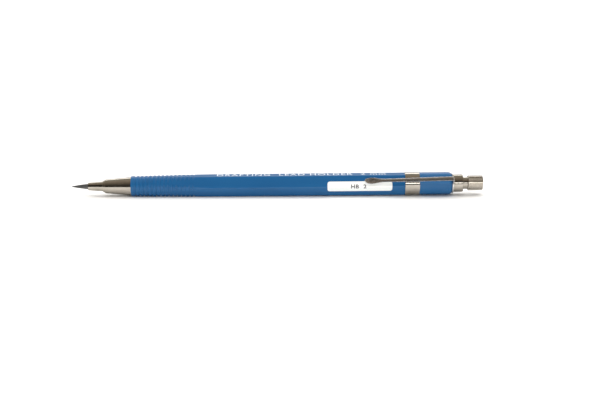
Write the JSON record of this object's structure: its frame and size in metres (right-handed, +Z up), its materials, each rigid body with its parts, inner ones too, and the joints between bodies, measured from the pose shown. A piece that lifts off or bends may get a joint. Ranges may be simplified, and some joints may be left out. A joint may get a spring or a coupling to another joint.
{
  "type": "lead holder",
  "caption": "Hexagonal push-button clutch lead holder with grooved grip, nose cone, gripping jaws, ring band, pocket clip and knurled button.",
  "frame": {"origin": "on the bottom flat of the hexagonal barrel, halfway along the barrel", "axes": "+X along the pencil from the jaws to the push button, +Z up, away from the flat it lies on"},
  "size_m": [0.1457, 0.0106, 0.008],
  "materials": {
    "blue_plastic": "semi-gloss injection moulded plastic",
    "nickel": "polished nickel plate on brass",
    "spring_steel": "nickel-plated spring steel",
    "brass": "machined brass",
    "graphite": "sharpened drafting lead, satin grey",
    "paper_label": "white paper label"
  },
  "bodies": {
    "barrel": {"barrel": "blue_plastic", "ring_band": "nickel", "grade_label": "paper_label", "front_bush": "brass", "nose_cone": "nickel", "spring_washer": "spring_steel", "return_spring": "spring_steel", "tail_bush": "brass", "tail_collar": "nickel"},
    "clutch": {"clutch_sleeve": "brass", "clutch_tube": "brass", "stop_ring": "brass", "button_plug": "nickel"},
    "jaw_1": {"jaw_1": "nickel"},
    "jaw_2": {"jaw_2": "nickel"},
    "jaw_3": {"jaw_3": "nickel"},
    "lead": {"lead": "graphite"},
    "button": {"button_cap": "nickel", "pointer": "spring_steel"},
    "clip_swivel": {"clip_ring": "spring_steel"},
    "clip_spring": {"clip_arm": "spring_steel"}
  },
  "joints": [
    {"name": "button_press", "type": "slide", "parent": "barrel", "child": "clutch", "axis": [-1, 0, 0], "range_m": [0, 0.003], "stiffness_N_per_m": 1500, "springref_m": -0.002, "deforming": ["return_spring"]},
    {"name": "jaw_1_open", "type": "hinge", "parent": "clutch", "child": "jaw_1", "pos_m": [-0.0566, 0, 0.00488], "axis": [0, 1, 0], "range_deg": [0, 1.4]},
    {"name": "jaw_2_open", "type": "hinge", "parent": "clutch", "child": "jaw_2", "pos_m": [-0.0566, -0.00111, 0.00296], "axis": [0, -0.5, 0.866], "range_deg": [0, 1.4]},
    {"name": "jaw_3_open", "type": "hinge", "parent": "clutch", "child": "jaw_3", "pos_m": [-0.0566, 0.00111, 0.00296], "axis": [0, -0.5, -0.866], "range_deg": [0, 1.4]},
    {"name": "lead_slide", "type": "slide", "parent": "clutch", "child": "lead", "axis": [-1, 0, 0], "range_m": [-0.0064, 0.012]},
    {"name": "button_off", "type": "slide", "parent": "clutch", "child": "button", "axis": [1, 0, 0], "range_m": [0, 0.008]},
    {"name": "clip_turn", "type": "hinge", "parent": "barrel", "child": "clip_swivel", "pos_m": [0.05695, 0, 0.0036], "axis": [1, 0, 0], "continuous": true},
    {"name": "clip_lift", "type": "hinge", "parent": "clip_swivel", "child": "clip_spring", "pos_m": [0.05695, -0.00546, 0.0065], "axis": [0, 0.4695, 0.8829], "range_deg": [0, 3], "stiffness_Nm_per_rad": 1.3, "springref_deg": -1.72}
  ],
  "couplings": [
    {"joint": "jaw_1_open", "follows": "button_press", "rad_per_m": 8.1441},
    {"joint": "jaw_2_open", "follows": "button_press", "rad_per_m": 8.1441},
    {"joint": "jaw_3_open", "follows": "button_press", "rad_per_m": 8.1441}
  ]
}
